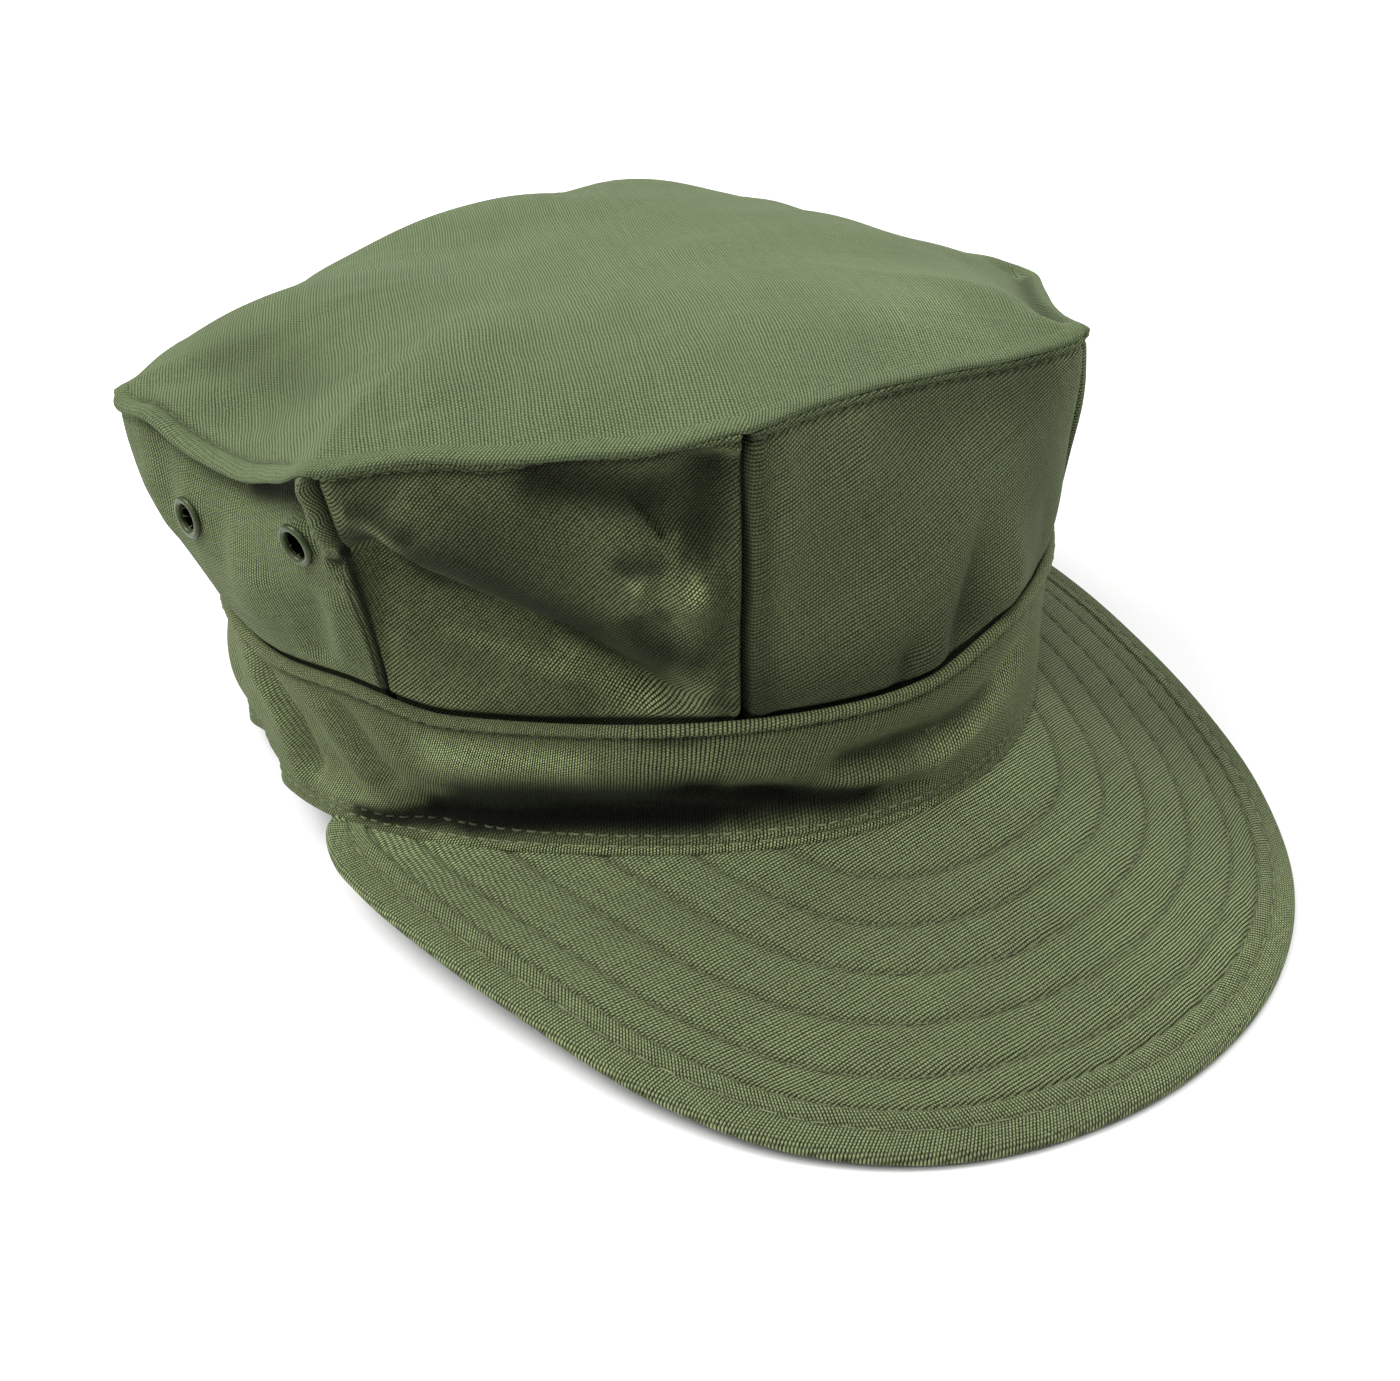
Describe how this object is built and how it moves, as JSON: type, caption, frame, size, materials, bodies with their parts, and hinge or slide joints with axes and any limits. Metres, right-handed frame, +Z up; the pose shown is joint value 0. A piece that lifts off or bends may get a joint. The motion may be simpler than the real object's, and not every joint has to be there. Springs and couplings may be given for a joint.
{
  "type": "military cap",
  "caption": "Soft cloth utility cap with an eight-cornered flat crown, side panels with eyelets, a plain band and a stitched curved peak.",
  "frame": {"origin": "on the surface that the cap rests on, below the middle of its outline", "axes": "+Z up, -Y to the peak's front, -X to the wearer's right"},
  "size_m": [0.2014, 0.2694, 0.1182],
  "materials": {
    "cloth": "matt olive drab cotton poplin with slubs",
    "eyelet": "semi-gloss olive enamel"
  },
  "bodies": {
    "root": {"crown_top": "cloth", "panel_front": "cloth", "panel_front_left": "cloth", "panel_side_left": "cloth", "panel_back_left": "cloth", "panel_back": "cloth", "panel_back_right": "cloth", "panel_side_right": "cloth", "panel_front_right": "cloth", "band": "cloth", "peak": "cloth", "eyelet_right_back": "eyelet", "eyelet_right_front": "eyelet", "eyelet_left_front": "eyelet", "eyelet_left_back": "eyelet"}
  },
  "joints": []
}
